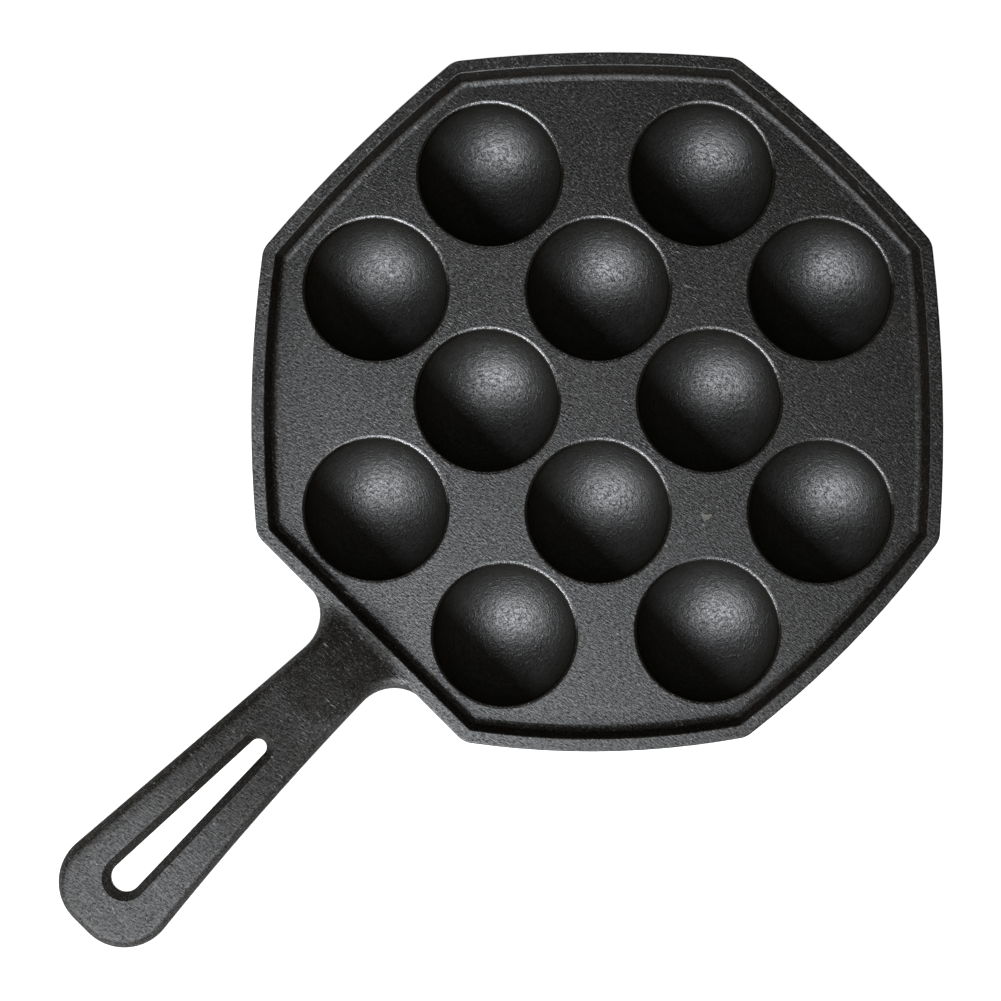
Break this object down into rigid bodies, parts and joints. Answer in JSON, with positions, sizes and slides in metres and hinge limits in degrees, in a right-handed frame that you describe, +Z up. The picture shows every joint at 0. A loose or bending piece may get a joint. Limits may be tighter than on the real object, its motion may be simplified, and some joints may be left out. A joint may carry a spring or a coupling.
{
  "type": "takoyaki pan",
  "caption": "Cast-iron takoyaki pan: eight-sided tray with a raised rim, round cups for batter balls, and a fixed handle with a hanging slot.",
  "frame": {"origin": "middle of the underside of the bounding box, on the surface that the cups' feet stand on", "axes": "+Z up out of the cups, -X along the handle towards its end, +Y across"},
  "size_m": [0.3091, 0.2002, 0.0434],
  "materials": {
    "casting": "black seasoned cast iron, sand-cast grain, low sheen"
  },
  "bodies": {
    "root": {"deck": "casting", "rim": "casting", "handle": "casting", "cup_01": "casting", "cup_02": "casting", "cup_03": "casting", "cup_04": "casting", "cup_05": "casting", "cup_06": "casting", "cup_07": "casting", "cup_08": "casting", "cup_09": "casting", "cup_10": "casting", "cup_11": "casting", "cup_12": "casting"}
  },
  "joints": []
}
